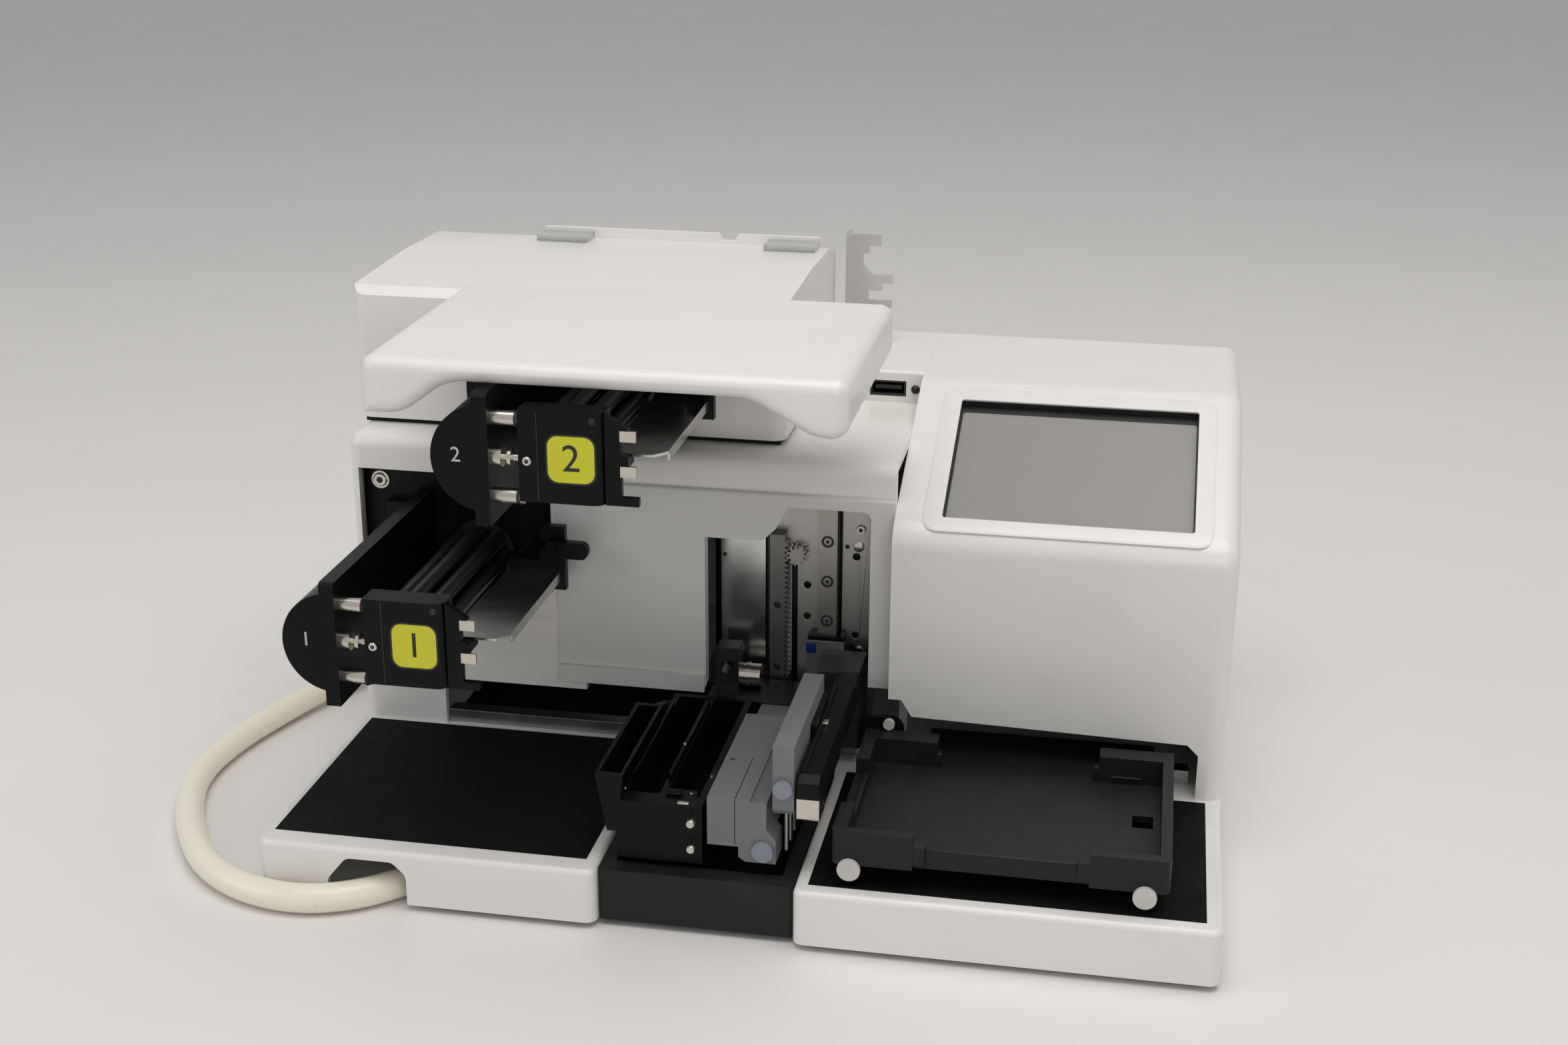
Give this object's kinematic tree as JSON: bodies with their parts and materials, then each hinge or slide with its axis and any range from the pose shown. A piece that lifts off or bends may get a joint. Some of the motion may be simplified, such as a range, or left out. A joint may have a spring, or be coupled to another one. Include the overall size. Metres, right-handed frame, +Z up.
{
  "type": "microplate reagent dispenser",
  "caption": "Bench dispenser with stacked roller pumps, a rack-driven lifting head with arms, a sliding plate carrier and a sloping display.",
  "frame": {"origin": "on the bench, under the middle of the case's footprint", "axes": "+X to the right seen from the front, +Y from the front to the back, +Z up"},
  "size_m": [0.4929, 0.3256, 0.246],
  "materials": {
    "black_plastic": "fine satin black",
    "black_rubber": "matte black",
    "brushed_plate": "fine brushed plate",
    "clear_plastic": "clear moulding",
    "dark_plastic": "matte charcoal",
    "grey_plastic": "matte blue-grey",
    "ground_steel": "ground",
    "nickel": "turned and plated",
    "polished_sheet": "bright rolled sheet",
    "screen": "dark grey anti-glare cover",
    "silicone": "translucent, slightly yellow",
    "warm_white_plastic": "satin moulded, warm off-white"
  },
  "bodies": {
    "case": {"base_pan": "brushed_plate", "centre_well": "black_plastic", "display_housing": "warm_white_plastic", "drain_fitting": "dark_plastic", "drive_motors": "black_plastic", "fixing_screws": "ground_steel", "front_cover": "warm_white_plastic", "guide_plate": "polished_sheet", "head_backplate": "brushed_plate", "hood": "warm_white_plastic", "hose_coupling": "dark_plastic", "left_tray": "warm_white_plastic", "linear_rail": "ground_steel", "module_gasket": "black_rubber", "power_inlet": "black_plastic", "pri_bay_panel": "black_plastic", "pri_combs": "black_plastic", "pri_drip_shelf": "polished_sheet", "pri_front_block": "black_plastic", "pri_hardware": "nickel", "pri_side_plate": "black_plastic", "pump_housing": "warm_white_plastic", "rear_panel": "warm_white_plastic", "right_tray": "warm_white_plastic", "rim_clips": "clear_plastic", "rubber_feet": "black_rubber", "sec_bay_panel": "black_plastic", "sec_combs": "black_plastic", "sec_drip_shelf": "polished_sheet", "sec_front_block": "black_plastic", "sec_hardware": "nickel", "sec_side_plate": "black_plastic", "service_socket": "black_plastic", "switch_frame": "black_plastic", "touch_screen": "screen", "tray_mats": "black_rubber", "tube_bracket": "polished_sheet", "upper_module": "warm_white_plastic", "waste_hose": "silicone", "x_rail": "ground_steel"},
    "head": {"head_carriage": "ground_steel", "head_beam": "brushed_plate", "trough_arm": "grey_plastic", "arm_a": "grey_plastic", "arm_b": "grey_plastic", "arm_c": "black_plastic", "head_hardware": "nickel", "needles": "ground_steel", "gear_rack": "ground_steel"},
    "lift_gear": {"pinion": "ground_steel"},
    "button_a": {"arm_a_button": "clear_plastic"},
    "button_b": {"arm_b_button": "clear_plastic"},
    "pri_drum": {"pri_rotor": "ground_steel"},
    "sec_drum": {"sec_rotor": "ground_steel"},
    "pri_catch": {"pri_lever": "black_plastic"},
    "sec_catch": {"sec_lever": "black_plastic"},
    "carrier": {"plate_carrier": "dark_plastic", "carrier_slider": "ground_steel", "carrier_hardware": "nickel"},
    "rocker": {"power_rocker": "black_plastic"}
  },
  "joints": [
    {"name": "head_lift", "type": "slide", "parent": "case", "child": "head", "axis": [0, 0, 1], "range_m": [0, 0.04]},
    {"name": "lift_pinion", "type": "hinge", "parent": "case", "child": "lift_gear", "pos_m": [0.0045, 0, 0.119], "axis": [0, 1, 0], "range_deg": [0, 522]},
    {"name": "carrier_shift", "type": "slide", "parent": "case", "child": "carrier", "axis": [-1, 0, 0], "range_m": [0, 0.018]},
    {"name": "pri_drum_spin", "type": "hinge", "parent": "case", "child": "pri_drum", "pos_m": [-0.143, -0.08, 0.118], "axis": [0, 1, 0], "continuous": true},
    {"name": "sec_drum_spin", "type": "hinge", "parent": "case", "child": "sec_drum", "pos_m": [-0.0724, -0.08, 0.2046], "axis": [0, 1, 0], "continuous": true},
    {"name": "pri_catch_turn", "type": "hinge", "parent": "case", "child": "pri_catch", "pos_m": [-0.101, -0.043, 0.13], "axis": [0, -1, 0], "range_deg": [0, 30]},
    {"name": "sec_catch_turn", "type": "hinge", "parent": "case", "child": "sec_catch", "pos_m": [-0.0304, -0.043, 0.2166], "axis": [0, -1, 0], "range_deg": [0, 30]},
    {"name": "button_a_press", "type": "slide", "parent": "head", "child": "button_a", "axis": [0, 1, 0], "range_m": [0, 0.0012], "stiffness_N_per_m": 600, "springref_m": -0.002},
    {"name": "button_b_press", "type": "slide", "parent": "head", "child": "button_b", "axis": [0, 1, 0], "range_m": [0, 0.0012], "stiffness_N_per_m": 600, "springref_m": -0.002},
    {"name": "power_rocker_tilt", "type": "hinge", "parent": "case", "child": "rocker", "pos_m": [0.184, 0.151, 0.07], "axis": [-1, 0, 0], "range_deg": [0, 18]}
  ],
  "couplings": [
    {"joint": "lift_pinion", "follows": "head_lift", "rad_per_m": 227.27}
  ]
}
